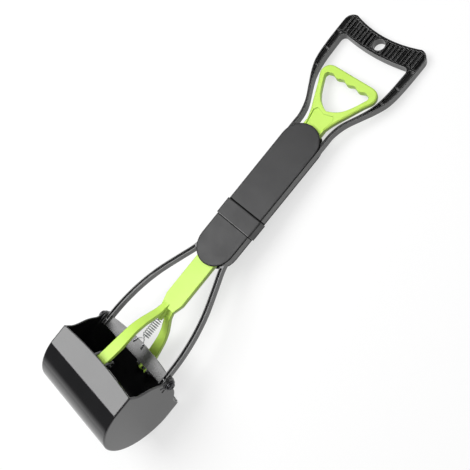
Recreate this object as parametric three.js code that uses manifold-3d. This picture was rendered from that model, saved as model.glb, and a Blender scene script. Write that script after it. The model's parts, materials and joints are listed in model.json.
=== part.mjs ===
// Clamshell scooper on a long handle: two nested bucket jaws on a forked frame,
// a sliding pull rod that lifts the jaws' rims to open them, and a spring that shuts them.
// The drawing frame has its origin on the jaws' pivot axis: x runs up the shaft,
// y to the tool's left and z out of its front. All lengths are millimetres.
import * as THREE from 'three';
import Module from 'manifold-3d';
import { mergeVertices } from 'three/addons/utils/BufferGeometryUtils.js';

const wasm = await Module();
wasm.setup();

// Clearances
const seatGap = 0.3;
const runGap = 0.3;
const slideGap = 0.5;
const overrun = 1;

// Bucket
const bucketHalfWidth = 65.2;
const bucketHalfDepth = 59.7;
const rimDrop = 25.2;
const rimArch = 3.9;
const facetDrop = 52.1;
const bowlCentreDrop = 44.3;
const jawWall = 2.2;
const jawBevel = 1.2;
const jawSeam = 0.3;
const jawNestGap = 0.5;
const rearRimRise = 1.2;
const rearLipReach = 8;
const earRadius = 9;
const earBossRadius = 8;
const earBossHeight = 1;
const earRibLength = 5;
const earRibWidth = 1.4;
const earRibHeight = 0.9;
const earBlend = Math.PI / 7;
const sideEdgeShares = [[0.89, 0.77], [0.69, 0.64], [0.4, 0.5], [0.2, 0.335], [0.11, 0.235]];

// Pivots at the sides of the bucket
const axleRadius = 4;
const axleBoreRadius = 1.8;
const pivotShankRadius = 1.5;
const pivotShankLength = 12;
const pivotHeadRadius = 5.6;
const pivotHeadHeight = 3.4;
const washerRadius = 7.2;
const washerThick = 1;

// Shaft housing
const houseBottom = 136.9;
const houseTop = 349.7;
const houseHalfWidth = 27;
const lowerEndLength = 28;
const upperEndLength = 26.5;
const coverDepth = 1.85;
const coverSkin = 1.1;
const coverEdge = 0.5;
const coverSkirtInset = 1.6;
const frameHalfThick = 5.4;
const frameWall = 4.3;
const frameInset = 0.2;
const bulkheadLength = 8;
const frameStartInset = 13.1;
const splitHeight = 207.6;
const bandDrop = 11.3;
const bandRise = 11.5;
const bandWall = 0.8;
const bandCornerWidth = 1.4;
const bandCornerDepth = 0.4;

// Housing and band screws
const bossRadius = 3.3;
const bossSideGap = 0.6;
const screwShankRadius = 1.3;
const screwHeadRadius = 2.7;
const screwHeadHeight = 1.4;
const screwHeadSink = 0.1;
const screwLength = 11;
const driveWidth = 0.9;
const driveDepth = 0.7;
const driveShare = 0.65;
const lowerScrewShare = 0.475402985;
const midScrewShare = 0.2;
const upperScrewShare = 0.777;
const bandScrewDrop = 6;
const bandScrewInset = 6.2;
const bandScrewLength = 10;

// Yoke arms and cross plate
const armWidth = 5.2;
const armHalfThick = 4.7;
const armSkin = 1.1;
const armWeb = 1.6;
const armEndWidth = 5.8;
const plateBottom = 6.5;
const plateTop = 7.4;
const plateArch = 4.6;
const plateHalfThick = 1.5;
const armShares = [
  [0, 1], [0.19, 0.985], [0.39, 0.915], [0.585, 0.784],
  [0.78, 0.588], [0.91, 0.447], [1, 0.376],
];

// Hand grip
const gripStartInset = 4.7;
const gripLength = 150.6;
const gripHalfWidth = 61;
const gripCorner = 12;
const gripDip = 7.9;
const gripBarDepth = 24;
const gripBarArch = 4;
const gripRailWidth = 10;
const gripInnerCorner = 6;
const gripOpeningInset = 15.7;
const railSkin = 1.3;
const railWeb = 2.4;
const railChannelInset = 7;
const railRibPitch = 25;
const railRibCount = 3;
const railRibThick = 1.2;
const railRibDrop = 1.6;
const gripOuterShares = [
  [0, 0], [0.0665, 0.009], [0.18, 0.152], [0.299, 0.444],
  [0.419, 0.741], [0.532, 0.923], [0.698, 0.991], [0.92, 1],
];
const gripInnerShares = [
  [0, 0.01], [0.12, 0.017], [0.2, 0.057], [0.297, 0.188], [0.477, 0.619],
  [0.594, 0.831], [0.75, 0.956], [1, 1],
];
const ribCount = 19;
const ribEndInset = 8.3;
const ribThick = 1.7;
const ribRimLow = 2.6;
const ribRimHigh = 2.8;
const ribWeb = 2.4;
const hangHoleRise = 12.5;
const hangHoleRadius = 7.7;
const hangRimWall = 1.8;

// Pull handle
const rodSideGap = 1;
const rodHalfThick = 3.8;
const rodEdge = 0.5;
const handleLip = 0.2;
const handleStartRise = 8;
const pullStroke = 30;
const handleStopGap = 5.6;
const handleSideGap = 8.6;
const handleEdge = 1.4;
const handleOuterShares = [
  [0, 0.333], [0.18, 0.445], [0.414, 0.648], [0.655, 0.854], [0.778, 0.98],
  [0.855, 1], [0.926, 0.954], [0.973, 0.872], [1, 0.72],
];
const openingRise = 21.5;
const handleBarDepth = 11.4;
const handleRim = 8.4;
const openingShares = [
  [0, 0], [0.075, 0.237], [0.2, 0.473], [0.362, 0.647], [0.549, 0.789],
  [0.748, 0.915], [0.898, 1], [1, 0.955],
];
const scallopRise = 1.4;
const scallopPitch = 17.5;
const scallopSteps = 24;
const panelDepth = 1.4;
const panelGap = 1.3;
const panelLength = 28.5;
const panelHalfWidth = 15.4;
const panelShares = [[0, 0.68], [0.84, 1], [1, 0.81], [0.93, 0.32], [0.88, 0]];

// Fork rod and its arms
const lapDrop = 12.6;
const lapRise = 11.4;
const lapFace = 0.15;
const linkPinRadius = 2.5;
const taperTop = 79;
const taperBottom = 59;
const forkRoot = 65;
const forkHalfWidth = 8.5;
const forkThick = 5.2;
const forkTop = 82;
const pinRestDrop = 24;
const pinSetback = 12.4;
const forkShares = [
  [1, 0], [0.883, 0.03], [0.793, 0.11], [0.737, 0.185], [0.681, 0.305],
  [0.629, 0.41], [0.582, 0.51], [0.465, 0.68], [0.325, 0.795], [0.183, 0.89], [0, 1],
];
const tipRadius = 3.4;
const tipHalfWidth = 7.5;
const tipOffset = 3;
const tipNotchHalf = 3;
const tipNotchLength = 12;
const tipSkin = 1.6;

// Arm pins, the jaws' lugs and their slots
const pinRadius = 1.5;
const pinHeadRadius = 2.6;
const pinHeadHeight = 1;
const slotRunGap = 0.85;
const lugThick = 3;
const lugEyeWall = 1.8;
const lugRootInset = 0.8;
const lugRootLength = 20;

// Return spring, its tab and its staple
const springFront = 1;
const wireRadius = 0.5;
const coilRadius = 4.8;
const coilEndInset = 0.5;
const coilStartInset = 2;
const coilTurns = 9;
const coilLeadTurns = 0.5;
const coilSides = 5;
const coilSteps = 12;
const springTabBottom = 47.8;
const springTabHalf = 1.6;
const springTabFront = 3.5;
const stapleRadius = 0.7;
const stapleSide = 7.3;
const stapleShift = 0.7;
const stapleHoleHeight = 5.6;
const stapleHoleGap = 0.35;
const stapleKnee = 12.6;
const stapleKneeSide = 5.8;
const stapleTop = 16.8;
const stapleTopHalf = 1.6;
const stapleTail = 3.4;

// Derived places
const jawOuterRadius = Math.hypot(bucketHalfDepth, facetDrop - bowlCentreDrop);
const rearHalfWidth = bucketHalfWidth - jawWall - jawNestGap;
const armOuterFace = rearHalfWidth - jawWall - runGap;
const plateHalfSpan = armOuterFace - armEndWidth;
const pinDepth = bucketHalfDepth - pinSetback;
const lugRootTop = rimDrop + lugRootInset;
const lugRootBottom = lugRootTop + lugRootLength;
const earOuterFace = bucketHalfWidth + earBossHeight;
const axleEnd = earOuterFace + seatGap;
const washerFace = axleEnd + seatGap;
const headFace = washerFace + washerThick + seatGap;
const coverBack = frameHalfThick + seatGap;
const coverFront = coverBack + coverDepth;
const frameHalfWidth = houseHalfWidth - frameInset;
const pocketHalfWidth = frameHalfWidth - frameWall;
const lowerFrameStart = houseBottom + frameStartInset;
const armLength = lowerFrameStart + armHalfThick;
const bandBottom = splitHeight - bandDrop;
const bandTop = splitHeight + bandRise;
const bossSide = pocketHalfWidth - bossSideGap - bossRadius;
const lowerStraight = houseBottom + lowerEndLength;
const upperStraight = houseTop - upperEndLength;
const bandScrewHeight = splitHeight - bandScrewDrop;
const lowerScrewHeight = armLength + lowerScrewShare * (bandScrewHeight - armLength);
const midScrewHeight = bandTop + midScrewShare * (upperStraight - bandTop);
const upperScrewHeight = bandTop + upperScrewShare * (upperStraight - bandTop);
const bandScrewSide = frameHalfWidth - bandScrewInset;
const rodHalfWidth = bossSide - bossRadius - rodSideGap;
const lapBottom = splitHeight - lapDrop;
const lapTop = splitHeight + lapRise;
const linkPinHeight = (lapBottom + lapTop) / 2;
const gripStart = houseTop - gripStartInset;
const gripTop = gripStart + gripLength;
const gripBarUnder = gripTop - gripDip - gripBarDepth;
const gripInnerHalf = gripHalfWidth - gripRailWidth;
const gripOpeningStart = houseTop - gripOpeningInset;
const hangHoleHeight = gripBarUnder + hangHoleRise;
const handleHalfThick = rodHalfThick + handleLip;
const handleStart = gripStart + handleStartRise;
const handleTop = gripBarUnder - pullStroke - handleStopGap;
const handleHalfWidth = gripInnerHalf - handleSideGap;
const openingBottom = handleStart + openingRise;
const openingTop = handleTop - handleBarDepth;
const openingHalfWidth = handleHalfWidth - handleRim;
const panelTop = openingBottom - panelGap;
const slotHalfWidth = pinRadius + slotRunGap;
const pinRestRadius = Math.hypot(pinRestDrop, pinDepth);
const arcSteps = 8;
const roundSides = 20;
const smallSides = 12;

// Materials
const blackPlastic = { color: 0x2a2a2c, roughness: 0.5, metalness: 0 };
const satinBlack = { color: 0x3a3a3d, roughness: 0.6, metalness: 0 };
const glossBlack = { color: 0x1d1d1f, roughness: 0.3, metalness: 0 };
const limePlastic = { color: 0xb4e03c, roughness: 0.4, metalness: 0 };
const steel = { color: 0xb8babd, roughness: 0.3, metalness: 1 };
const darkSteel = { color: 0x2e2f31, roughness: 0.35, metalness: 1 };

// Solids and booleans

function toSolid(geometry) {
  const bare = geometry.clone();
  bare.deleteAttribute('normal');
  bare.deleteAttribute('uv');
  const merged = mergeVertices(bare);
  const index = merged.index.array;
  const kept = [];
  for (let i = 0; i < index.length; i += 3) {
    const [a, b, c] = [index[i], index[i + 1], index[i + 2]];
    if (a !== b && b !== c && c !== a) kept.push(a, b, c);
  }
  const vertProperties = new Float32Array(merged.attributes.position.array);
  const triVerts = Uint32Array.from(kept);
  return new wasm.Manifold(new wasm.Mesh({ numProp: 3, vertProperties, triVerts }));
}

function toGeometry(body) {
  const mesh = body.getMesh();
  const geometry = new THREE.BufferGeometry();
  geometry.setAttribute('position', new THREE.BufferAttribute(mesh.vertProperties, 3));
  geometry.setIndex(new THREE.BufferAttribute(mesh.triVerts, 1));
  geometry.computeVertexNormals();
  return geometry;
}

function join(...bodies) {
  return bodies.reduce((sum, body) => sum.add(body));
}

function cutFrom(body, cuts) {
  return cuts.reduce((rest, cut) => rest.subtract(cut), body);
}

// Two ends in rising order

function span(a, b) {
  return a < b ? [a, b] : [b, a];
}

// Outlines are lists of [x, y] or [x, z] points

function toShape(points) {
  return new THREE.Shape(points.map(([a, b]) => new THREE.Vector2(a, b)));
}

function arc(x, y, radius, from, to, steps) {
  return Array.from({ length: steps + 1 }, (_, i) => {
    const angle = from + ((to - from) * i) / steps;
    return [x + radius * Math.cos(angle), y + radius * Math.sin(angle)];
  });
}

function smooth(points, steps) {
  const curve = new THREE.SplineCurve(points.map(([a, b]) => new THREE.Vector2(a, b)));
  return curve.getPoints(steps).map((p) => [p.x, p.y]);
}

// Points whose shares run along a length, and across from one half width to another

function scaled(shares, start, length, half, from = 0) {
  return shares.map(([along, across]) => [start + along * length, from + across * (half - from)]);
}

function flipped(points) {
  return points.map(([a, b]) => [a, -b]).reverse();
}

function bothSides(half) {
  return [...half, ...flipped(half)];
}

// The line beside a polyline, at a distance to its left

function beside(points, distance) {
  return points.map((point, i) => {
    const before = points[Math.max(i - 1, 0)];
    const after = points[Math.min(i + 1, points.length - 1)];
    const [dx, dy] = [after[0] - before[0], after[1] - before[1]];
    const length = Math.hypot(dx, dy);
    return [point[0] - (distance * dy) / length, point[1] + (distance * dx) / length];
  });
}

function ribbon(points, halfWidth) {
  return [...beside(points, halfWidth), ...beside(points, -halfWidth).reverse()];
}

function extruded(points, thick, edge) {
  return new THREE.ExtrudeGeometry(toShape(points), {
    depth: thick - 2 * edge,
    bevelEnabled: edge > 0,
    bevelThickness: edge,
    bevelSize: edge,
    bevelOffset: -edge,
    bevelSegments: 1,
  });
}

// A plate drawn from the front, from one z to another

function frontPlate(points, low, high, edge = 0) {
  const geometry = extruded(points, high - low, edge);
  geometry.translate(0, 0, low + edge);
  return toSolid(geometry);
}

// A plate drawn from the side, from one y to another

function sidePlate(points, low, high, edge = 0) {
  const geometry = extruded(points, high - low, edge);
  geometry.translate(0, 0, -high + edge);
  geometry.rotateX(Math.PI / 2);
  return toSolid(geometry);
}

function block(x0, x1, y0, y1, z0, z1) {
  const geometry = new THREE.BoxGeometry(x1 - x0, y1 - y0, z1 - z0);
  geometry.translate((x0 + x1) / 2, (y0 + y1) / 2, (z0 + z1) / 2);
  return toSolid(geometry);
}

function rodAcross(x, z, radius, y0, y1, sides) {
  const geometry = new THREE.CylinderGeometry(radius, radius, y1 - y0, sides);
  geometry.translate(x, (y0 + y1) / 2, z);
  return toSolid(geometry);
}

function rodFront(x, y, radius, z0, z1, sides) {
  const geometry = new THREE.CylinderGeometry(radius, radius, z1 - z0, sides);
  geometry.rotateX(Math.PI / 2);
  geometry.translate(x, y, (z0 + z1) / 2);
  return toSolid(geometry);
}

// Jaws

function sideEdge(drop, side) {
  const corner = [-drop, bucketHalfDepth];
  const middle = sideEdgeShares.map(([down, out]) => [-drop * down, bucketHalfDepth * out]);
  const ear = [earRadius * Math.sin(earBlend), earRadius * Math.cos(earBlend)];
  return smooth([corner, ...middle, ear], 14).map(([x, z]) => [x, side * z]);
}

function bowlArc(radius, from, to, steps) {
  return arc(-bowlCentreDrop, 0, radius, from, to, steps);
}

function bowlAngle(radius, z) {
  return Math.PI - Math.asin(z / radius);
}

function jawOutline() {
  const crease = bowlAngle(jawOuterRadius, bucketHalfDepth);
  return [
    ...sideEdge(rimDrop, 1),
    ...arc(0, 0, earRadius, Math.PI / 2 - earBlend, earBlend - Math.PI / 2, 10).slice(1, -1),
    ...sideEdge(rimDrop, -1).reverse(),
    ...bowlArc(jawOuterRadius, 2 * Math.PI - crease, crease, 26),
  ];
}

// The hollow of one jaw: open towards the other jaw and above the rim

function jawHollow(halfWidth) {
  const inside = bucketHalfDepth - jawWall;
  const radius = jawOuterRadius - jawWall;
  const low = -bowlCentreDrop - jawOuterRadius - overrun;
  const far = -bucketHalfDepth - overrun;
  const high = earRadius + overrun;
  const points = [
    [high, inside],
    ...bowlArc(radius, bowlAngle(radius, inside), bowlAngle(radius, jawSeam), 14),
    [low, jawSeam],
    [low, far],
    [high, far],
  ];
  return sidePlate(points, -halfWidth, halfWidth);
}

function rimArchPlate(drop, halfWidth) {
  const steps = 15;
  const arch = Array.from({ length: steps + 1 }, (_, i) => {
    const across = (2 * i) / steps - 1;
    return [-drop + rimArch * (1 - across * across), across * halfWidth];
  });
  const points = [[-drop - jawWall, -halfWidth], ...arch, [-drop - jawWall, halfWidth]];
  return frontPlate(points, bucketHalfDepth - jawWall, bucketHalfDepth);
}

// One lug beside the arm's tip, with a slot along the line to the pivot

function lugSolid(middle) {
  const eye = slotHalfWidth + lugEyeWall;
  const near = [(-pinRestDrop * pinDepth) / pinRestRadius, (pinDepth * pinDepth) / pinRestRadius];
  const pin = [-pinRestDrop, pinDepth];
  const root = bucketHalfDepth - jawWall / 2;
  const body = [
    [near[0] - eye, near[1]],
    [-lugRootBottom, root],
    [-lugRootTop, root],
    [pin[0] + eye * Math.SQRT1_2, pin[1] + eye * Math.SQRT1_2],
    near,
  ];
  const [y0, y1] = [middle - lugThick / 2, middle + lugThick / 2];
  const plate = join(
    sidePlate(body, y0, y1),
    sidePlate(ribbon([near, pin], eye), y0, y1),
    rodAcross(near[0], near[1], eye, y0, y1, roundSides),
    rodAcross(pin[0], pin[1], eye, y0, y1, roundSides),
  );
  const slot = join(
    sidePlate(ribbon([near, pin], slotHalfWidth), y0 - overrun, y1 + overrun),
    rodAcross(near[0], near[1], slotHalfWidth, y0 - overrun, y1 + overrun, roundSides),
    rodAcross(pin[0], pin[1], slotHalfWidth, y0 - overrun, y1 + overrun, roundSides),
  );
  return plate.subtract(slot);
}

function lugPair(tipMiddle) {
  const reach = tipHalfWidth + slideGap + lugThick / 2;
  return join(lugSolid(tipMiddle - reach), lugSolid(tipMiddle + reach));
}

function earRibs(side) {
  const face = bucketHalfWidth - jawBevel / 2;
  const ribs = [-1, 0, 1].map((turn) => {
    const angle = Math.PI + (turn * Math.PI) / 4;
    const from = earBossRadius - overrun;
    const to = earBossRadius + earRibLength;
    const line = [from, to].map((r) => [r * Math.cos(angle), r * Math.sin(angle)]);
    const [y0, y1] = span(side * face, side * (bucketHalfWidth + earRibHeight));
    return sidePlate(ribbon(line, earRibWidth / 2), y0, y1);
  });
  return join(...ribs);
}

function frontJaw() {
  const shell = sidePlate(jawOutline(), -bucketHalfWidth, bucketHalfWidth, jawBevel);
  const hollow = jawHollow(bucketHalfWidth - jawWall);
  const bosses = [-1, 1].map((side) => {
    const [y0, y1] = span(side * (bucketHalfWidth - jawWall / 2), side * earOuterFace);
    return rodAcross(0, 0, earBossRadius, y0, y1, roundSides);
  });
  const reach = earOuterFace + overrun;
  const bore = rodAcross(0, 0, axleRadius + runGap, -reach, reach, roundSides);
  const walls = shell.subtract(hollow);
  const rim = rimArchPlate(rimDrop, bucketHalfWidth - jawBevel);
  const body = join(walls, rim, lugPair(0), ...bosses, earRibs(-1), earRibs(1));
  return toGeometry(body.subtract(bore));
}

// Drawn with its wall in front like the other jaw's, then turned to the rear

function rearJawOutline() {
  const lipRadius = jawOuterRadius - jawWall - slideGap;
  const crease = bowlAngle(jawOuterRadius, bucketHalfDepth);
  const earAngle = Math.asin(rearLipReach / earRadius);
  const lipAngle = Math.asin(rearLipReach / lipRadius);
  return [
    ...sideEdge(rimDrop - rearRimRise, 1),
    ...arc(0, 0, earRadius, Math.PI / 2 - earBlend, -earAngle, 8).slice(1),
    ...bowlArc(lipRadius, Math.PI + lipAngle, bowlAngle(lipRadius, jawSeam), 2),
    ...bowlArc(jawOuterRadius, bowlAngle(jawOuterRadius, jawSeam), crease, 16),
  ];
}

function rearJaw() {
  const shell = sidePlate(rearJawOutline(), -rearHalfWidth, rearHalfWidth);
  const bore = rodAcross(0, 0, axleRadius + runGap, -bucketHalfWidth, bucketHalfWidth, roundSides);
  const rim = rimArchPlate(rimDrop - rearRimRise, rearHalfWidth - jawWall);
  const body = join(shell.subtract(jawHollow(rearHalfWidth - jawWall)), rim, lugPair(tipOffset));
  const geometry = toGeometry(body.subtract(bore));
  geometry.rotateX(Math.PI);
  return geometry;
}

// Lower frame: yoke arms, cross plate and the lower half of the shaft's sides

function armLine(side, bottom) {
  const half = armOuterFace - armWidth / 2;
  const points = armShares.map(([along, across]) => [along * armLength, side * across * half]);
  return [[bottom, side * half], ...smooth(points, 26)];
}

function armChannel(side, low, high) {
  const line = armLine(side, -plateBottom - overrun).slice(0, -3);
  return frontPlate(ribbon(line, armWidth / 2 - armSkin), low, high);
}

function yokeArm(side) {
  const [y0, y1] = span(side * plateHalfSpan, side * axleEnd);
  const axle = rodAcross(0, 0, axleRadius, y0, y1, roundSides);
  const outline = ribbon(armLine(side, -plateBottom), armWidth / 2);
  const strip = frontPlate(outline, -armHalfThick, armHalfThick);
  const front = armChannel(side, armWeb, armHalfThick + overrun);
  const back = armChannel(side, -armHalfThick - overrun, -armWeb);
  return join(cutFrom(strip, [front, back]), axle);
}

function crossPlate() {
  const steps = 12;
  const top = Array.from({ length: steps + 1 }, (_, i) => {
    const across = (2 * i) / steps - 1;
    return [plateTop + plateArch * (1 - across * across), across * plateHalfSpan];
  });
  const reach = plateHalfSpan + armWidth / 2;
  const points = [
    [-plateBottom, -reach], [plateTop, -reach], ...top, [plateTop, reach], [-plateBottom, reach],
  ];
  const depth = plateHalfThick + overrun;
  const holes = [-1, 1].map((side) => {
    const y = side * stapleSide + stapleShift;
    return rodFront(stapleHoleHeight, y, stapleRadius + stapleHoleGap, -depth, depth, smallSides);
  });
  return cutFrom(frontPlate(points, -plateHalfThick, plateHalfThick), holes);
}

// Half outline of the housing at a width, from its split to one rounded end

function lowerHalf(halfWidth, cutAngle) {
  const centre = lowerStraight;
  const length = lowerEndLength - (houseHalfWidth - halfWidth);
  const end = Array.from({ length: arcSteps + 1 }, (_, i) => {
    const angle = (cutAngle * i) / arcSteps;
    return [centre - length * Math.sin(angle), halfWidth * Math.cos(angle)];
  });
  return [[splitHeight - seatGap / 2, halfWidth], ...end];
}

function upperHalf(halfWidth) {
  const centre = upperStraight;
  const length = upperEndLength - (houseHalfWidth - halfWidth);
  const end = Array.from({ length: arcSteps + 1 }, (_, i) => {
    const angle = ((Math.PI / 2) * i) / arcSteps;
    return [centre + length * Math.sin(angle), halfWidth * Math.cos(angle)];
  });
  return [[splitHeight + seatGap / 2, halfWidth], ...end];
}

function closedHalf(half) {
  const last = half[half.length - 1];
  const tip = Math.abs(last[1]) < seatGap ? half.slice(0, -1) : half;
  return tip === half ? bothSides(half) : [...tip, [last[0], 0], ...flipped(tip)];
}

function rodWindow(bottom, top) {
  const [y, z] = [rodHalfWidth + slideGap, rodHalfThick + slideGap];
  return block(bottom, top, -y, y, -z, z);
}

function screwHoles(places, low, high) {
  return places.map(([x, y]) => rodFront(x, y, screwShankRadius + runGap, low, high, smallSides));
}

// Clearance in a frame for the bosses of the covers' screws

function bossHoles(places) {
  const depth = frameHalfThick + overrun;
  return places.map(([x, y]) => rodFront(x, y, bossRadius + seatGap, -depth, depth, smallSides));
}

const lowerScrewPlaces = [[lowerScrewHeight, bossSide], [lowerScrewHeight, -bossSide]];
const upperScrewPlaces = [
  [midScrewHeight, bossSide], [midScrewHeight, -bossSide],
  [upperScrewHeight, bossSide], [upperScrewHeight, -bossSide],
];
const bandScrewPlaces = [[bandScrewHeight, bandScrewSide], [bandScrewHeight, -bandScrewSide]];

function lowerFrame() {
  const cut = Math.asin((lowerStraight - lowerFrameStart) / lowerEndLength);
  const outline = closedHalf(lowerHalf(frameHalfWidth, cut));
  const body = frontPlate(outline, -frameHalfThick, frameHalfThick);
  const pocketStart = lowerFrameStart + bulkheadLength;
  const depth = frameHalfThick + overrun;
  const stem = cutFrom(body, [
    block(pocketStart, bandBottom, -pocketHalfWidth, pocketHalfWidth, -depth, depth),
    rodWindow(lowerFrameStart - armWidth, splitHeight),
    ...screwHoles(bandScrewPlaces, -depth, depth),
    ...bossHoles(lowerScrewPlaces),
  ]);
  const bores = [-1, 1].map((side) => {
    const deep = headFace - pivotShankLength - overrun;
    const [y0, y1] = span(side * deep, side * (axleEnd + overrun));
    return rodAcross(0, 0, axleBoreRadius, y0, y1, smallSides);
  });
  return toGeometry(cutFrom(join(stem, yokeArm(1), yokeArm(-1), crossPlate()), bores));
}

// Upper frame: the grip, its rails and the upper half of the shaft's sides

function gripOuterLine() {
  const points = scaled(gripOuterShares, gripStart, gripLength, gripHalfWidth, frameHalfWidth);
  const side = smooth(points, 26);
  const corner = arc(gripTop - gripCorner, gripHalfWidth - gripCorner, gripCorner, Math.PI / 2, 0, 6);
  return [...side, ...corner.slice(1)];
}

function gripTopLine() {
  const half = gripHalfWidth - gripCorner;
  const steps = 10;
  return Array.from({ length: steps }, (_, i) => {
    const across = 1 - (i + 1) / steps;
    return [gripTop - gripDip * (1 - across * across), across * half];
  });
}

function gripInnerLine() {
  const end = gripBarUnder + gripBarArch - gripInnerCorner;
  const length = end - gripOpeningStart;
  return smooth(scaled(gripInnerShares, gripOpeningStart, length, gripInnerHalf, pocketHalfWidth), 24);
}

function gripOpening() {
  const middle = gripInnerHalf - gripInnerCorner;
  const start = gripBarUnder + gripBarArch - gripInnerCorner;
  const corner = arc(start, middle, gripInnerCorner, Math.PI / 2, 0, 5).slice(1);
  const steps = 8;
  const under = Array.from({ length: steps }, (_, i) => {
    const across = 1 - (i + 1) / steps;
    return [gripBarUnder + gripBarArch * across * across, across * middle];
  });
  const half = [...gripInnerLine(), ...corner, ...under.slice(0, -1)];
  return [...half, [gripBarUnder, 0], ...flipped(half)];
}

// The area between a line and the tool's axis

function besideAxis(line, side, first, last, low, high) {
  const kept = line.filter(([x]) => x > first && x < last);
  const [start, end] = [kept[0][1], kept[kept.length - 1][1]];
  const points = [[first, 0], [first, start], ...kept, [last, end], [last, 0]];
  return frontPlate(points.map(([x, y]) => [x, side * y]), low, high);
}

function railChannel(side, low, high) {
  const [first, last] = [gripStart + railChannelInset, gripBarUnder + gripBarArch];
  const [outer, inner] = [beside(gripOuterLine(), -railSkin), beside(gripInnerLine(), railSkin)];
  const reach = gripHalfWidth;
  const top = frameHalfThick - railRibDrop;
  const ribs = Array.from({ length: railRibCount }, (_, i) => {
    const x = last - (i + 1) * railRibPitch;
    return block(x - railRibThick / 2, x + railRibThick / 2, -reach, reach, -top, top);
  });
  const inside = besideAxis(inner, side, first - overrun, last + overrun, low - overrun, high + overrun);
  return cutFrom(besideAxis(outer, side, first, last, low, high), [inside, ...ribs]);
}

// The last pocket of the bar's front, between the outermost rib and the corner's skin

function cornerPocket(side) {
  const low = gripBarUnder + gripBarArch + ribRimLow;
  const inside = gripHalfWidth - ribEndInset + ribThick / 2;
  const line = beside(gripOuterLine(), -railSkin).filter(([x, y]) => x > low && y > inside);
  const points = [[low, line[0][1]], ...line, [line[line.length - 1][0], inside], [low, inside]];
  return frontPlate(points.map(([x, y]) => [x, side * y]), ribWeb / 2, frameHalfThick + overrun);
}

function gripRibPockets(low, high) {
  const ribSpan = 2 * (gripHalfWidth - ribEndInset);
  const pitch = ribSpan / ribCount;
  const half = gripHalfWidth - gripCorner;
  const pockets = Array.from({ length: ribCount }, (_, i) => {
    const y = (i + 0.5) * pitch - ribSpan / 2;
    const across = Math.min(Math.abs(y) / half, 1);
    const top = gripTop - gripDip * (1 - across * across) - ribRimHigh;
    const bottom = gripBarUnder + gripBarArch * across * across + ribRimLow;
    const reach = (pitch - ribThick) / 2;
    return block(bottom, top, y - reach, y + reach, low, high);
  });
  const radius = hangHoleRadius + hangRimWall;
  const rim = rodFront(hangHoleHeight, 0, radius, low - overrun, high + overrun, roundSides);
  return join(...pockets).subtract(rim);
}

function upperFrame() {
  const half = [[splitHeight + seatGap / 2, frameHalfWidth], ...gripOuterLine(), ...gripTopLine()];
  const middle = half.slice(0, -1);
  const outline = [...middle, half[half.length - 1], ...flipped(middle)];
  const thick = frameHalfThick;
  const depth = thick + overrun;
  const pocketTop = gripOpeningStart - bulkheadLength;
  const cuts = [
    block(bandTop, pocketTop, -pocketHalfWidth, pocketHalfWidth, -depth, depth),
    frontPlate(gripOpening(), -depth, depth),
    rodWindow(splitHeight, gripOpeningStart + overrun),
    rodFront(hangHoleHeight, 0, hangHoleRadius, -depth, depth, roundSides),
    gripRibPockets(ribWeb / 2, depth),
    gripRibPockets(-depth, -ribWeb / 2),
    ...bossHoles(upperScrewPlaces),
  ];
  for (const side of [-1, 1]) {
    cuts.push(railChannel(side, railWeb / 2, depth), railChannel(side, -depth, -railWeb / 2));
    cuts.push(cornerPocket(side));
  }
  return toGeometry(cutFrom(frontPlate(outline, -thick, thick), cuts));
}

// Covers: a skin over a narrower skirt, so that a groove runs along their edge

function coverSolid(outlineAt, places) {
  const inside = coverFront - coverSkin / 2;
  const skin = frontPlate(outlineAt(houseHalfWidth), coverFront - coverSkin, coverFront, coverEdge);
  const skirt = frontPlate(outlineAt(houseHalfWidth - coverSkirtInset), coverBack, inside);
  const bosses = places.map(([x, y]) => rodFront(x, y, bossRadius, seatGap / 2, inside, smallSides));
  return join(skin, skirt, ...bosses);
}

function lowerCoverOutline(halfWidth) {
  return closedHalf(lowerHalf(halfWidth, Math.PI / 2));
}

function upperCoverOutline(halfWidth) {
  return closedHalf(upperHalf(halfWidth));
}

function frontCover(outlineAt, places) {
  const bores = screwHoles(places, -overrun, coverFront - coverSkin);
  return toGeometry(cutFrom(coverSolid(outlineAt, places), bores));
}

function backCover(outlineAt, places, bandPlaces) {
  const sink = coverFront - screwHeadHeight - screwHeadSink - seatGap;
  const high = coverFront + overrun;
  const heads = places.map(([x, y]) => rodFront(x, y, screwHeadRadius + runGap, sink, high, smallSides));
  const cuts = [...heads, ...screwHoles([...places, ...bandPlaces], -overrun, high)];
  const geometry = toGeometry(cutFrom(coverSolid(outlineAt, places), cuts));
  geometry.rotateX(Math.PI);
  return geometry;
}

// Joining band round the split of the shaft, notched along its four corners

function joiningBand() {
  const inner = [houseHalfWidth + seatGap, coverFront + seatGap];
  const outer = inner.map((size) => size + bandWall);
  const [low, high] = [bandBottom - overrun, bandTop + overrun];
  const notches = [[1, 1], [1, -1], [-1, 1], [-1, -1]].map(([ySide, zSide]) => {
    const [y0, y1] = span(ySide * (outer[0] - bandCornerDepth), ySide * (outer[0] + overrun));
    const [z0, z1] = span(zSide * (inner[1] - bandCornerWidth), zSide * inner[1]);
    return block(low, high, y0, y1, z0, z1);
  });
  const sleeve = block(bandBottom, bandTop, -outer[0], outer[0], -outer[1], outer[1]);
  return toGeometry(cutFrom(sleeve, [
    block(low, high, -inner[0], inner[0], -inner[1], inner[1]),
    ...notches,
    ...screwHoles(bandScrewPlaces, -outer[1] - overrun, 0),
  ]));
}

// A pan head screw along y: its head stands on y = 0 and its shank goes below

function panScrew(shankRadius, shankLength, headRadius, headHeight) {
  const crown = headHeight / 2;
  const profile = [
    [0, -shankLength], [shankRadius, -shankLength], [shankRadius, 0], [headRadius, 0],
    [headRadius, crown], [headRadius - crown, headHeight], [0, headHeight],
  ];
  const reach = headRadius * driveShare;
  const [low, high] = [headHeight - driveDepth, headHeight + overrun];
  const half = driveWidth / 2;
  const cross = [
    block(-reach, reach, low, high, -half, half),
    block(-half, half, low, high, -reach, reach),
  ];
  return toGeometry(cutFrom(toSolid(turned(profile, smallSides)), cross));
}

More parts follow.
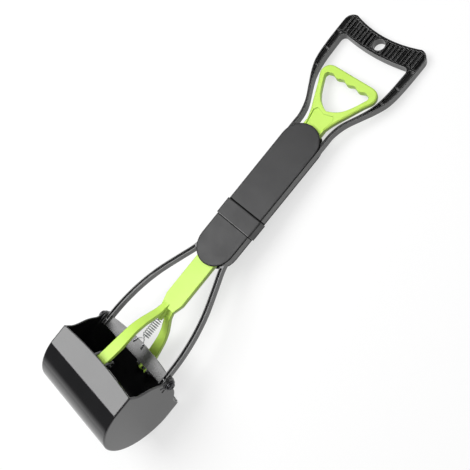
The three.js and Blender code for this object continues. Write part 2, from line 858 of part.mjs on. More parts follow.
function turned(profile, sides) {
  return new THREE.LatheGeometry(profile.map(([r, y]) => new THREE.Vector2(r, y)), sides);
}

function washer(innerRadius, outerRadius, thick) {
  const profile = [
    [innerRadius, 0], [outerRadius, 0], [outerRadius, thick], [innerRadius, thick], [innerRadius, 0],
  ];
  return turned(profile, roundSides);
}

// Pull handle

function handleOutline() {
  const height = handleTop - handleStart;
  const side = smooth(scaled(handleOuterShares, handleStart, height, handleHalfWidth), 30);
  return bothSides(side);
}

function handleOpening() {
  const height = openingTop - openingBottom;
  const side = smooth(scaled(openingShares, openingBottom, height, openingHalfWidth), 20);
  const end = side[side.length - 1];
  const scallops = Array.from({ length: scallopSteps - 1 }, (_, i) => {
    const y = end[1] * (1 - (2 * (i + 1)) / scallopSteps);
    return [openingTop - scallopRise * Math.cos((2 * Math.PI * y) / scallopPitch), y];
  });
  return [...side, ...scallops, ...flipped(side).slice(0, -1)];
}

function handlePanel(low, high) {
  const half = scaled(panelShares, panelTop - panelLength, panelLength, panelHalfWidth);
  const last = half[half.length - 1];
  const rest = half.slice(0, -1);
  return frontPlate([...rest, last, ...flipped(rest)], low, high);
}

function linkPinHole() {
  const depth = handleHalfThick;
  return rodFront(linkPinHeight, 0, linkPinRadius + runGap, -depth, depth, roundSides);
}

function pullHandle() {
  const thick = handleHalfThick;
  const depth = thick + overrun;
  const wide = rodHalfWidth;
  const hand = frontPlate(handleOutline(), -thick, thick, handleEdge);
  const stem = block(lapTop + seatGap, handleStart + overrun, -wide, wide, -rodHalfThick, rodHalfThick);
  const lap = block(lapBottom, lapTop + overrun, -wide, wide, lapFace, rodHalfThick);
  return toGeometry(cutFrom(join(hand, stem, lap), [
    frontPlate(handleOpening(), -depth, depth),
    handlePanel(thick - panelDepth, depth),
    handlePanel(-depth, panelDepth - thick),
    linkPinHole(),
  ]));
}

// Fork rod: the two arms leave the crotch side by side, one to the front and one to the rear

function forkArm(side) {
  const drop = forkTop + pinRestDrop;
  const line = smooth(forkShares.map(([up, out]) => [up * drop - pinRestDrop, side * out * pinDepth]), 26);
  const strap = sidePlate(ribbon(line, forkThick / 2), -handleHalfWidth, handleHalfWidth);
  const tip = side > 0 ? 0 : -tipOffset;
  const end = -pinRestDrop - tipRadius - overrun;
  const [far, near] = [tip + side * tipHalfWidth, tip - side * tipHalfWidth];
  const plan = [
    [forkTop + overrun, 0], [forkRoot, 0], [0, near], [end, near], [end, far], [0, far],
    [taperBottom, side * forkHalfWidth], [forkTop + overrun, side * forkHalfWidth],
  ];
  const reach = pinDepth + forkThick;
  const arm = strap.intersect(frontPlate(plan, -reach, reach));
  const pinZ = side * pinDepth;
  const [y0, y1] = span(near, far);
  const knuckle = rodAcross(-pinRestDrop, pinZ, tipRadius, y0, y1, roundSides);
  const bore = rodAcross(-pinRestDrop, pinZ, pinRadius + runGap, y0 - overrun, y1 + overrun, roundSides);
  const inside = pinDepth - tipRadius - overrun;
  const [z0, z1] = span(side * inside, side * (pinDepth + tipRadius - tipSkin));
  const notchTop = tipNotchLength - pinRestDrop;
  const notch = block(end, notchTop, tip - tipNotchHalf, tip + tipNotchHalf, z0, z1);
  return cutFrom(join(arm, knuckle), side > 0 ? [bore] : [notch, bore]);
}

function forkRod() {
  const taper = (forkRoot - taperBottom) / (taperTop - taperBottom);
  const rootHalfWidth = forkHalfWidth + (rodHalfWidth - forkHalfWidth) * taper;
  const barTop = lapBottom - seatGap;
  const bar = [[barTop, rodHalfWidth], [taperTop, rodHalfWidth], [forkRoot, rootHalfWidth]];
  const body = frontPlate(bothSides(bar), -rodHalfThick, rodHalfThick, rodEdge);
  const lapStart = barTop - overrun - rodEdge;
  const lap = block(lapStart, lapTop, -rodHalfWidth, rodHalfWidth, -rodHalfThick, -lapFace);
  const [half, front] = [springTabHalf, springTabFront];
  const tab = block(springTabBottom, forkRoot + overrun, -half, half, -front, front);
  return toGeometry(join(body, lap, tab, forkArm(1), forkArm(-1)).subtract(linkPinHole()));
}

// Pins

function armPin() {
  const reach = tipHalfWidth + 2 * slideGap + lugThick;
  const [full, head] = [reach + pinHeadHeight, reach];
  const body = join(
    rodAcross(0, 0, pinRadius, -full, full, smallSides),
    rodAcross(0, 0, pinHeadRadius, head, full, smallSides),
    rodAcross(0, 0, pinHeadRadius, -full, -head, smallSides),
  );
  return toGeometry(body);
}

function linkPin() {
  const reach = rodHalfThick - runGap;
  const geometry = new THREE.CylinderGeometry(linkPinRadius, linkPinRadius, 2 * reach, smallSides);
  geometry.rotateX(Math.PI / 2);
  return geometry;
}

// Return spring: straight ends on the axis and a helix between them

const springBottom = stapleTop + stapleRadius + seatGap;
const springTop = springTabBottom - seatGap;
const coilBottom = springBottom + coilStartInset;
const coilPitch = (springTop - coilEndInset - coilBottom) / (coilTurns + coilLeadTurns);

function springPoint(t) {
  const turns = coilTurns + 2 * coilLeadTurns;
  const turn = t * turns;
  const angle = turn * 2 * Math.PI;
  const ramp = Math.min(turn / coilLeadTurns, (turns - turn) / coilLeadTurns, 1);
  const radius = coilRadius * Math.sin((ramp * Math.PI) / 2);
  const x = coilBottom + (turn - coilLeadTurns) * coilPitch;
  return new THREE.Vector3(x, radius * Math.sin(angle), springFront + radius * Math.cos(angle));
}

function springPoints() {
  const count = (coilTurns + 2 * coilLeadTurns) * coilSteps;
  const coil = Array.from({ length: count + 1 }, (_, i) => springPoint(i / count));
  const foot = new THREE.Vector3(springBottom, 0, springFront);
  const head = new THREE.Vector3(springTop, 0, springFront);
  return [foot, ...coil, head];
}

class PointPath extends THREE.Curve {
  constructor(points) {
    super();
    this.points = points;
  }

  getPoint(t, target = new THREE.Vector3()) {
    const place = Math.min(t, 1) * (this.points.length - 1);
    const i = Math.min(Math.floor(place), this.points.length - 2);
    return target.lerpVectors(this.points[i], this.points[i + 1], place - i);
  }

  getPointAt(t, target) {
    return this.getPoint(t, target);
  }

  getSpacedPoints(divisions) {
    return Array.from({ length: divisions + 1 }, (_, i) => this.getPoint(i / divisions));
  }
}

function wire(points, radius, sides) {
  const section = toShape(arc(0, 0, radius, 0, 2 * Math.PI, sides).slice(0, -1));
  const extrudePath = new PointPath(points);
  return new THREE.ExtrudeGeometry(section, { extrudePath, steps: points.length - 1 });
}

function leastGap(points, radius) {
  let least = Infinity;
  for (let i = 0; i < points.length; i += 1) {
    for (let j = i + coilSteps - 2; j < points.length; j += 1) {
      least = Math.min(least, points[i].distanceTo(points[j]) - 2 * radius);
    }
  }
  return least;
}

// Staple: through the two holes of the cross plate and up to the spring

function staplePoints() {
  const front = plateHalfThick + seatGap + stapleRadius;
  const leg = (side) => [
    [stapleHoleHeight, side * stapleSide + stapleShift, -plateHalfThick - stapleTail],
    [stapleHoleHeight, side * stapleSide + stapleShift, front - stapleRadius / 2],
    [stapleHoleHeight + stapleRadius, side * stapleSide + stapleShift, front + stapleRadius / 2],
    [stapleKnee, side * stapleKneeSide + stapleShift, front + stapleRadius / 2],
    [stapleTop, side * stapleTopHalf, springFront],
  ];
  const all = [...leg(-1), ...leg(1).reverse()];
  return all.map(([x, y, z]) => new THREE.Vector3(x, y, z));
}

// Assembly

const tool = new THREE.Group();

function add(name, geometry, look, parent = tool) {
  const mesh = new THREE.Mesh(geometry, new THREE.MeshStandardMaterial(look));
  mesh.name = name;
  parent.add(mesh);
  return mesh;
}

add('upper_frame', upperFrame(), blackPlastic);
add('lower_frame', lowerFrame(), blackPlastic);
add('upper_front_cover', frontCover(upperCoverOutline, upperScrewPlaces), satinBlack);
add('upper_back_cover', backCover(upperCoverOutline, upperScrewPlaces, []), satinBlack);
add('lower_front_cover', frontCover(lowerCoverOutline, lowerScrewPlaces), satinBlack);
add('lower_back_cover', backCover(lowerCoverOutline, lowerScrewPlaces, bandScrewPlaces), satinBlack);
add('joining_band', joiningBand(), satinBlack);

const houseScrew = panScrew(screwShankRadius, screwLength, screwHeadRadius, screwHeadHeight);
[...lowerScrewPlaces, ...upperScrewPlaces].forEach(([x, y], i) => {
  const screw = add(`housing_screw_${i + 1}`, houseScrew, darkSteel);
  screw.rotation.x = -Math.PI / 2;
  screw.position.set(x, y, -(coverFront - screwHeadHeight - screwHeadSink));
});

const bandScrew = panScrew(screwShankRadius, bandScrewLength, screwHeadRadius, screwHeadHeight);
['band_screw_left', 'band_screw_right'].forEach((name, i) => {
  const screw = add(name, bandScrew, darkSteel);
  screw.rotation.x = -Math.PI / 2;
  screw.position.set(bandScrewPlaces[i][0], bandScrewPlaces[i][1], -(coverFront + bandWall + 2 * seatGap));
});

add('pull_handle', pullHandle(), limePlastic);
add('fork_rod', forkRod(), limePlastic);
add('rod_link_pin', linkPin(), steel).position.set(linkPinHeight, 0, 0);
add('front_arm_pin', armPin(), darkSteel).position.set(-pinRestDrop, 0, pinDepth);
add('rear_arm_pin', armPin(), darkSteel).position.set(-pinRestDrop, -tipOffset, -pinDepth);

add('front_jaw', frontJaw(), glossBlack);
add('rear_jaw', rearJaw(), glossBlack);

const pivotScrew = panScrew(pivotShankRadius, pivotShankLength, pivotHeadRadius, pivotHeadHeight);
const pivotWasher = washer(axleBoreRadius + runGap, washerRadius, washerThick);
for (const [name, side] of [['left', 1], ['right', -1]]) {
  const place = new THREE.Group();
  place.rotation.z = side > 0 ? 0 : Math.PI;
  tool.add(place);
  add(`pivot_washer_${name}`, pivotWasher, darkSteel, place).position.y = washerFace;
  add(`pivot_screw_${name}`, pivotScrew, darkSteel, place).position.y = headFace;
}

const springLine = springPoints();
add('return_spring', wire(springLine, wireRadius, coilSides), steel);
add('spring_staple', wire(staplePoints(), stapleRadius, arcSteps), steel);
console.log('least gap of the spring to itself, mm:', leastGap(springLine, wireRadius).toFixed(2));

// The tool lies on its back, on the rear rim and the end of the grip

const rearRimTop = rimDrop - rearRimRise - rimArch;
tool.rotation.y = Math.atan2(bucketHalfDepth - frameHalfThick, gripTop + rearRimTop);
const scooper = new THREE.Group();
scooper.add(tool);
scooper.updateMatrixWorld(true);
const bounds = new THREE.Box3().setFromObject(scooper, true);
tool.position.set(-(bounds.min.x + bounds.max.x) / 2, -(bounds.min.y + bounds.max.y) / 2, -bounds.min.z);

export default scooper;
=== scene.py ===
import json
import math

import bmesh
import bpy
from mathutils import Matrix, Vector


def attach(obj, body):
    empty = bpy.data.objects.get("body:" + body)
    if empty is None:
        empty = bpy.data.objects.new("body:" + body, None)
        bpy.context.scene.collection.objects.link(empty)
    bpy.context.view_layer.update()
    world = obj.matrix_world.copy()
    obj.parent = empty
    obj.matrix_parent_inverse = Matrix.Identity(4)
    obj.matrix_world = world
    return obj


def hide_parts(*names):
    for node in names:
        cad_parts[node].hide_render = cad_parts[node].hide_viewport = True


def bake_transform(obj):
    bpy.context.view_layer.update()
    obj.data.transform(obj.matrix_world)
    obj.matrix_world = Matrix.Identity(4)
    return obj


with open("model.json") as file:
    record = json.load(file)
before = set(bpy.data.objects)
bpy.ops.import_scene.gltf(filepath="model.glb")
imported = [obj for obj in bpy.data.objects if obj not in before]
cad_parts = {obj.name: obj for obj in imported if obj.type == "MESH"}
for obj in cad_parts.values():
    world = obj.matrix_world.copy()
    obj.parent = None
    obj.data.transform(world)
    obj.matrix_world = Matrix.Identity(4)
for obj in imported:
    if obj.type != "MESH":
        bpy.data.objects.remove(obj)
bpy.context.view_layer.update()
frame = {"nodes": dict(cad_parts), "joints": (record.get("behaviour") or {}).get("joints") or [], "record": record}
nodes = frame["nodes"]
joints = {joint["name"]: joint for joint in frame["joints"]}
slots = {row["node"]: row["material_slot"] for row in frame["record"]["subparts"]}
body_of_node = {
    node: body
    for body, members in frame["record"]["behaviour"]["bodies"].items()
    for node in members
}

# The drawing frame of the tool, in the row frame: up the shaft, to its left, out of its front
MM = 1000  # millimetres in a metre
up = Vector(joints["pull_slide"]["axis"]).normalized()
left = Vector((0, 1, 0))
front = up.cross(left).normalized()
pivot = Vector(joints["front_jaw_pivot"]["pos_m"])


def at(u, y, f):
    """A point of the drawing frame, in millimetres, as a point of the row frame."""
    return pivot + (up * u + left * y + front * f) / MM


def along(u, y, f):
    """A direction of the drawing frame as one of the row frame."""
    return (up * u + left * y + front * f).normalized()


def drawn(point):
    """A point of the row frame in the drawing frame, in millimetres."""
    offset = (Vector(point) - pivot) * MM
    return Vector((offset.dot(up), offset.dot(left), offset.dot(front)))


def extent(node):
    """The least and greatest u, y and f of a CAD node, in millimetres."""
    places = [drawn(vertex.co) for vertex in nodes[node].data.vertices]
    return [(min(p[i] for p in places), max(p[i] for p in places)) for i in range(3)]


def middle(pair):
    return (pair[0] + pair[1]) / 2


# Materials. A pattern is the scale and the detail of a noise texture

DRIFT_PATTERN = (18, 3)
WEAR_PATTERN = (55, 5)
SINK_PATTERN = (30, 1)
GRAIN_DETAIL = 2
METAL_TONE_PATTERN = (90, 4)
METAL_WEAR_PATTERN = (140, 5)
BRUSH_SCALE = 900
BRUSH_DETAIL = 2
BRUSH_STRETCH = (1, 6, 1)
BRUSH_STRENGTH = 0.6
BRUSH_DEPTH = 0.00002
NOISE_SPAN = (0.35, 0.65)
EDGE_SPAN = (0.9, 0.997)
EDGE_SAMPLES = 8
WHITE = (1, 1, 1, 1)


def new_material(name):
    """A new material, its node tree and its main shader."""
    material = bpy.data.materials.new(name)
    material.use_nodes = True
    tree = material.node_tree
    return material, tree, tree.nodes["Principled BSDF"]


def set_inputs(node, **values):
    """Sets a node's inputs by name, with _ for each space in the name."""
    for name, value in values.items():
        node.inputs[name.replace("_", " ")].default_value = value


def noise(tree, scale, detail, stretch=(1, 1, 1)):
    """A noise texture that is fixed to the object."""
    place = tree.nodes.new("ShaderNodeTexCoord")
    mapping = tree.nodes.new("ShaderNodeMapping")
    set_inputs(mapping, Scale=stretch)
    texture = tree.nodes.new("ShaderNodeTexNoise")
    set_inputs(texture, Scale=scale, Detail=detail)
    tree.links.new(place.outputs["Object"], mapping.inputs["Vector"])
    tree.links.new(mapping.outputs["Vector"], texture.inputs["Vector"])
    return texture.outputs["Fac"]


def spread(tree, value, low, high, span=NOISE_SPAN):
    """A value taken from a span to the range between low and high."""
    node = tree.nodes.new("ShaderNodeMapRange")
    set_inputs(node, From_Min=span[0], From_Max=span[1], To_Min=low, To_Max=high)
    tree.links.new(value, node.inputs["Value"])
    return node.outputs["Result"]


def combined(tree, operation, first, second):
    """Two values as one; the second is an output or a plain number."""
    node = tree.nodes.new("ShaderNodeMath")
    node.operation = operation
    tree.links.new(first, node.inputs[0])
    if isinstance(second, bpy.types.NodeSocket):
        tree.links.new(second, node.inputs[1])
    else:
        node.inputs[1].default_value = second
    return node.outputs["Value"]


def mixed(tree, share, dark, light):
    """Two colours mixed by a share; the dark one is a colour or an output."""
    node = tree.nodes.new("ShaderNodeMix")
    node.data_type = "RGBA"
    if isinstance(dark, bpy.types.NodeSocket):
        tree.links.new(dark, node.inputs["A"])
    else:
        node.inputs["A"].default_value = (*dark, 1)
    node.inputs["B"].default_value = (*light, 1)
    tree.links.new(share, node.inputs["Factor"])
    return node.outputs["Result"]


def bump(tree, height, distance, strength=1, under=None):
    """A surface's normal, moved by a height on top of the normal under it."""
    node = tree.nodes.new("ShaderNodeBump")
    set_inputs(node, Strength=strength, Distance=distance)
    tree.links.new(height, node.inputs["Height"])
    if under is not None:
        tree.links.new(under, node.inputs["Normal"])
    return node.outputs["Normal"]


def soft_edge(tree, radius):
    """The rounding of a moulding's edges, as wide as the radius in millimetres."""
    node = tree.nodes.new("ShaderNodeBevel")
    node.samples = EDGE_SAMPLES
    set_inputs(node, Radius=radius / MM)
    return node.outputs["Normal"]


def edge_share(tree, rounding):
    """1 along the edges that are rounded, 0 on open faces."""
    shape = tree.nodes.new("ShaderNodeNewGeometry")
    turn = tree.nodes.new("ShaderNodeVectorMath")
    turn.operation = "DOT_PRODUCT"
    tree.links.new(rounding, turn.inputs[0])
    tree.links.new(shape.outputs["Normal"], turn.inputs[1])
    return spread(tree, turn.outputs["Value"], 1, 0, EDGE_SPAN)


def plastic(
        name, dark, light, rough, grain, grain_depth, wave_depth, specular, edge, painted_edge_tone=None):
    """Moulded plastic: slow colour drift, a fine mould texture, a slight sink and soft edges.

    The edge is the width of the rounding in millimetres, and the edge tone (the last argument) is the colour
    painted along it: a painted highlight where lighter than the plastic, painted shade where darker.
    """
    material, tree, shader = new_material(name)
    set_inputs(shader, Metallic=0, IOR=1.5, Specular_IOR_Level=specular)
    rounding = soft_edge(tree, edge)
    colour = mixed(tree, spread(tree, noise(tree, *DRIFT_PATTERN), 0, 1), dark, light)
    # Painted light along the rounded edges: the colour is mixed towards the edge tone there, standing in for the
    # light and shade the rounding catches.
    if painted_edge_tone:
        colour = mixed(tree, edge_share(tree, rounding), colour, painted_edge_tone)
    tree.links.new(colour, shader.inputs["Base Color"])
    tree.links.new(spread(tree, noise(tree, *WEAR_PATTERN), *rough), shader.inputs["Roughness"])
    sink = bump(tree, noise(tree, *SINK_PATTERN), wave_depth, under=rounding)
    texture = bump(tree, noise(tree, grain, GRAIN_DETAIL), grain_depth, under=sink)
    tree.links.new(texture, shader.inputs["Normal"])
    return material


def metal(name, dark, light, rough):
    """Drawn or turned metal with faint brush lines."""
    material, tree, shader = new_material(name)
    set_inputs(shader, Metallic=1)
    tone = spread(tree, noise(tree, *METAL_TONE_PATTERN), 0, 1)
    tree.links.new(mixed(tree, tone, dark, light), shader.inputs["Base Color"])
    wear = spread(tree, noise(tree, *METAL_WEAR_PATTERN), *rough)
    tree.links.new(wear, shader.inputs["Roughness"])
    brush = noise(tree, BRUSH_SCALE, BRUSH_DETAIL, BRUSH_STRETCH)
    tree.links.new(bump(tree, brush, BRUSH_DEPTH, BRUSH_STRENGTH), shader.inputs["Normal"])
    return material


looks = {
    # frame_black: its pale edge tone is a painted highlight on the rounded edges of ribs, rails and rims
    "frame_black": plastic(
        "frame_black", dark=(0.004, 0.004, 0.004), light=(0.007, 0.007, 0.007), rough=(0.24, 0.32),
        grain=2600, grain_depth=0.00002, wave_depth=0.00005,
        specular=1.0, edge=0.6, painted_edge_tone=(0.34, 0.34, 0.34)),
    # cover_black: its near-black edge tone is painted shade, dark outlines along the covers' edges
    "cover_black": plastic(
        "cover_black", dark=(0.022, 0.022, 0.023), light=(0.027, 0.027, 0.028), rough=(0.46, 0.52),
        grain=2200, grain_depth=0.00004, wave_depth=0.00002,
        specular=0.6, edge=2.2, painted_edge_tone=(0.002, 0.002, 0.002)),
    "jaw_black": plastic(
        "jaw_black", dark=(0.007, 0.007, 0.008), light=(0.010, 0.010, 0.011), rough=(0.09, 0.13),
        grain=1500, grain_depth=0.000005, wave_depth=0.00008,
        specular=0.93, edge=2.4),
    # lime: its deeper green edge tone is painted shade along the rounded edges
    "lime": plastic(
        "lime", dark=(0.58, 0.87, 0.13), light=(0.62, 0.90, 0.155), rough=(0.32, 0.40),
        grain=1900, grain_depth=0.00002, wave_depth=0.0001,
        specular=0.35, edge=1.2, painted_edge_tone=(0.34, 0.58, 0.04)),
    "steel": metal(
        "steel", dark=(0.62, 0.63, 0.64), light=(0.80, 0.81, 0.82), rough=(0.36, 0.5)),
    "dark_steel": metal(
        "dark_steel", dark=(0.05, 0.05, 0.055), light=(0.09, 0.09, 0.095), rough=(0.28, 0.38)),
}
# Painted shadow: a flat black for thin rings that stand in for the shade in the joint gaps at the band's ends
shadow_gap_black = plastic(
    "shadow_gap_black", dark=(0.001, 0.001, 0.001), light=(0.002, 0.002, 0.002), rough=(0.7, 0.8),
    grain=2200, grain_depth=0.00002, wave_depth=0.00001, specular=0.15, edge=0.2)
# Painted highlight: a grey for a thin ring that stands in for the light the band's lower edge catches
band_highlight_grey = plastic(
    "band_highlight_grey", dark=(0.16, 0.16, 0.16), light=(0.22, 0.22, 0.22), rough=(0.4, 0.5),
    grain=2200, grain_depth=0.00002, wave_depth=0.00001, specular=0.5, edge=0.2)
spring_steel = metal(
    "spring_steel", dark=(0.34, 0.35, 0.36), light=(0.50, 0.51, 0.52), rough=(0.3, 0.42))

# Objects and meshes

WELD_DISTANCE = 1e-6
FLAT_DEGREES = 0.5


def placed(name, data):
    """A new object of the scene with a mesh, a light or a camera."""
    item = bpy.data.objects.new(name, data)
    bpy.context.scene.collection.objects.link(item)
    return item


def add_piece(name, mesh, body, slot, *replaced, look=None):
    """A piece with its body and slot, and the CAD nodes whose place it takes."""
    piece = placed(name, mesh)
    mesh.materials.clear()
    mesh.materials.append(look or looks[slot])
    if body:
        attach(piece, body)
    if replaced:
        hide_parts(*replaced)
    return piece


def shade(mesh, degrees):
    """Smooth shading, but for edges sharper than the angle."""
    for face in mesh.polygons:
        face.use_smooth = True
    mesh.set_sharp_from_angle(angle=math.radians(degrees))


def as_mesh(work, name):
    """What was built in a working mesh, its faces turned outwards."""
    bmesh.ops.recalc_face_normals(work, faces=work.faces)
    mesh = bpy.data.meshes.new(name)
    work.to_mesh(mesh)
    work.free()
    return mesh


def applied(holder):
    """The mesh of a helper object with its modifiers applied; the helper goes."""
    graph = bpy.context.evaluated_depsgraph_get()
    result = bpy.data.meshes.new_from_object(holder.evaluated_get(graph))
    bpy.data.objects.remove(holder)
    return result


def circle(work, centre, side, other, radius, steps):
    """Corners round a centre, the radius in millimetres; a radius of 0 gives one corner."""
    turns = [2 * math.pi * i / steps for i in range(steps)] if radius else [0]
    offsets = [(side * math.cos(a) + other * math.sin(a)) * radius / MM for a in turns]
    return [work.verts.new(centre + offset) for offset in offsets]


def skin(work, rows, steps):
    """Faces between each row of corners and the next; a row may be a single corner."""
    for low, high in zip(rows, rows[1:]):
        for i in range(steps):
            j = (i + 1) % steps
            corners = [row[k % len(row)] for row, k in ((low, i), (low, j), (high, j), (high, i))]
            work.faces.new(list(dict.fromkeys(corners)))


# Mouldings: the solids' own meshes, with whole faces and, where they bear it, rounded edges

ROUNDED_MM = {
    "upper_frame": 0, "lower_frame": 0, "upper_front_cover": 0.25, "upper_back_cover": 0.25,
    "lower_front_cover": 0.25, "lower_back_cover": 0.25, "joining_band": 0.2,
    "pull_handle": 0, "fork_rod": 0, "front_jaw": 0, "rear_jaw": 0,
}
ROUNDED_SEGMENTS = 2
MOULDED_DEGREES = 32
FACE_WEIGHT = 90
CREASE_HEIGHT = -52.1
CREASE_DEPTH = 59.7
CREASE_REACH = 0.1


def merged_faces(mesh):
    """A copy of a solid's mesh with its flat triangles joined into whole faces."""
    work = bmesh.new()
    work.from_mesh(mesh)
    bmesh.ops.remove_doubles(work, verts=work.verts, dist=WELD_DISTANCE)
    flat = math.radians(FLAT_DEGREES)
    bmesh.ops.dissolve_limit(work, angle_limit=flat, verts=work.verts, edges=work.edges)
    copy = bpy.data.meshes.new(mesh.name + "_work")
    work.to_mesh(copy)
    work.free()
    return copy


def mark_crease(mesh):
    """Keeps the edge across a jaw, where its slanted face meets the round one, crisp."""
    on_line = [
        abs(p.x - CREASE_HEIGHT) < CREASE_REACH and abs(abs(p.z) - CREASE_DEPTH) < CREASE_REACH
        for p in (drawn(vertex.co) for vertex in mesh.vertices)
    ]
    for edge in mesh.edges:
        if all(on_line[i] for i in edge.vertices):
            edge.use_edge_sharp = True


def rounded(mesh, width):
    """The mesh with its sharp edges rounded off and its large flat faces shaded flat."""
    holder = placed("holder", mesh)
    if width:
        bevel = holder.modifiers.new("edges", "BEVEL")
        bevel.width = width / MM
        bevel.segments = ROUNDED_SEGMENTS
        bevel.limit_method = "ANGLE"
        bevel.angle_limit = math.radians(MOULDED_DEGREES)
        bevel.use_clamp_overlap = False
    even = holder.modifiers.new("normals", "WEIGHTED_NORMAL")
    even.keep_sharp = True
    even.weight = FACE_WEIGHT
    return applied(holder)


def mould(node, width):
    """A moulding in the place of its CAD node, its edges rounded by the width."""
    mesh = merged_faces(nodes[node].data)
    shade(mesh, MOULDED_DEGREES)
    if node.endswith("jaw"):
        mark_crease(mesh)
    mesh = rounded(mesh, width)
    mesh.name = node + "_moulded"
    add_piece(node + "_moulded", mesh, body_of_node[node], slots[node], node)


for node, width in ROUNDED_MM.items():
    mould(node, width)

# Screws, washers and pins, as turned pieces. A profile is (height, radius) in millimetres

TURNED_STEPS = 36
WASHER_STEPS = 48
TURNED_DEGREES = 40
HOUSING_SCREW = {"head": 2.7, "crown": 1.4, "shank": 1.3}
PIVOT_SCREW = {"head": 5.6, "crown": 3.4, "shank": 1.5}
# A screw's head from its rim to its top, as shares of its crown and of its radius
HEAD_SHARES = ((1, 0.97), (0.93, 1), (0.62, 1), (0.3, 0.9), (0.09, 0.66), (0, 0.34), (0, 0))
TIP_SHARE = 0.7
TIP_LENGTH = 1
# A screw's recess, as shares of its head and its crown; its floor, as shares of its opening
RECESS_REACH_SHARE = 0.62
RECESS_WIDTH_SHARE = 0.3
RECESS_DEPTH_SHARE = 0.5
RECESS_FLOOR_SHARES = (0.55, 0.7)
RECESS_OVERRUN = 1
WASHER_PROFILE = [(0, 2.1), (0, 7.0), (0.15, 7.2), (0.8, 7.2), (1, 6.95), (1, 2.1)]
ARM_PIN_RADIUS = 1.5
# An arm pin's head: how far each of its corners lies in from its end, and its radius
ARM_PIN_HEAD = ((1, 2.6), (0.35, 2.6), (0.1, 2.2), (0, 1.5), (0, 0))
LINK_PIN_RADIUS = 2.5
LINK_PIN_CHAMFER = 0.4
CORNER_SIGNS = ((1, 1), (-1, 1), (-1, -1), (1, -1))
BOX_QUADS = ((0, 1, 2, 3), (7, 6, 5, 4), (0, 4, 5, 1), (1, 5, 6, 2), (2, 6, 7, 3), (3, 7, 4, 0))


def directions(axis):
    """An axis as a unit vector, and two directions square to it."""
    axis = Vector(axis).normalized()
    side = axis.orthogonal().normalized()
    return axis, side, axis.cross(side)


def revolved(name, profile, origin, axis, steps=TURNED_STEPS, ring=False):
    """A solid turned round an axis; a ring's profile closes on itself."""
    axis, side, other = directions(axis)
    work = bmesh.new()
    rows = [
        circle(work, Vector(origin) + axis * height / MM, side, other, radius, steps)
        for height, radius in profile
    ]
    if ring:
        rows.append(rows[0])
    skin(work, rows, steps)
    mesh = as_mesh(work, name)
    shade(mesh, TURNED_DEGREES)
    return mesh


def cross_cut(mesh, centre, axis, reach, width, depth):
    """The mesh with a cross recess sunk into it at a point, along an axis; in millimetres."""
    axis, side, other = directions(axis)
    half = width / 2
    long_share, wide_share = RECESS_FLOOR_SHARES
    levels = ((reach, half, RECESS_OVERRUN), (long_share * reach, wide_share * half, -depth))
    places = [
        (a * long, b * wide, height) for long, wide, height in levels for a, b in CORNER_SIGNS
    ]
    work = bmesh.new()
    for lengthwise, across in ((side, other), (other, side)):
        corners = [
            work.verts.new(Vector(centre) + (lengthwise * a + across * b + axis * c) / MM)
            for a, b, c in places
        ]
        for quad in BOX_QUADS:
            work.faces.new([corners[i] for i in quad])
    cutter = placed("cross", as_mesh(work, "cross"))
    holder = placed("holder", mesh)
    cut = holder.modifiers.new("recess", "BOOLEAN")
    cut.operation = "DIFFERENCE"
    cut.solver = "EXACT"
    cut.use_self = True
    cut.object = cutter
    result = applied(holder)
    bpy.data.objects.remove(cutter)
    shade(result, TURNED_DEGREES)
    return result


def add_screw(node, top, axis, length, head, crown, shank):
    """A round-headed screw in a CAD screw's place; top is the top of its head."""
    name = node + "_turned"
    profile = [
        (-length, 0), (-length, shank * TIP_SHARE), (TIP_LENGTH - length, shank), (-crown, shank),
    ]
    profile += [(-crown * height, head * radius) for height, radius in HEAD_SHARES]
    mesh = cross_cut(
        revolved(name, profile, top, axis), top, axis, reach=head * RECESS_REACH_SHARE,
        width=head * RECESS_WIDTH_SHARE, depth=crown * RECESS_DEPTH_SHARE)
    mesh.name = name
    add_piece(name, mesh, body_of_node[node], slots[node], node)


def add_turned(node, profile, origin, axis, **options):
    """A turned piece in the place of a CAD node."""
    mesh = revolved(node + "_turned", profile, origin, axis, **options)
    add_piece(node + "_turned", mesh, body_of_node[node], slots[node], node)


for node in slots:
    if node.startswith(("housing_screw", "band_screw")):
        us, ys, fs = extent(node)
        top = at(middle(us), middle(ys), fs[0])
        add_screw(node, top, along(0, 0, -1), fs[1] - fs[0], **HOUSING_SCREW)

for word, side in (("left", 1), ("right", -1)):
    node = "pivot_screw_" + word
    us, ys, fs = extent(node)
    outer = ys[1] if side > 0 else ys[0]
    add_screw(node, at(middle(us), outer, middle(fs)), (0, side, 0), ys[1] - ys[0], **PIVOT_SCREW)
    node = "pivot_washer_" + word
    us, ys, fs = extent(node)
    inner = ys[0] if side > 0 else ys[1]
    place = at(middle(us), inner, middle(fs))
    add_turned(node, WASHER_PROFILE, place, (0, side, 0), steps=WASHER_STEPS, ring=True)

for node in ("front_arm_pin", "rear_arm_pin"):
    us, ys, fs = extent(node)
    reach = (ys[1] - ys[0]) / 2
    half = [(reach - ARM_PIN_HEAD[0][0], ARM_PIN_RADIUS)]
    half += [(reach - inset, radius) for inset, radius in ARM_PIN_HEAD]
    profile = [(-height, radius) for height, radius in half[::-1]] + half
    add_turned(node, profile, at(middle(us), middle(ys), middle(fs)), (0, 1, 0))

us, ys, fs = extent("rod_link_pin")
half = (fs[1] - fs[0]) / 2
chamfered = LINK_PIN_RADIUS - LINK_PIN_CHAMFER
add_turned("rod_link_pin", [
    (-half, 0), (-half, chamfered), (LINK_PIN_CHAMFER - half, LINK_PIN_RADIUS),
    (half - LINK_PIN_CHAMFER, LINK_PIN_RADIUS), (half, chamfered), (half, 0),
], at(middle(us), middle(ys), middle(fs)), along(0, 0, 1))

# Painted shadow and painted highlight at the band: thin rings round the shaft, black ones in the joint gaps at its
# ends and a grey one on its lower edge

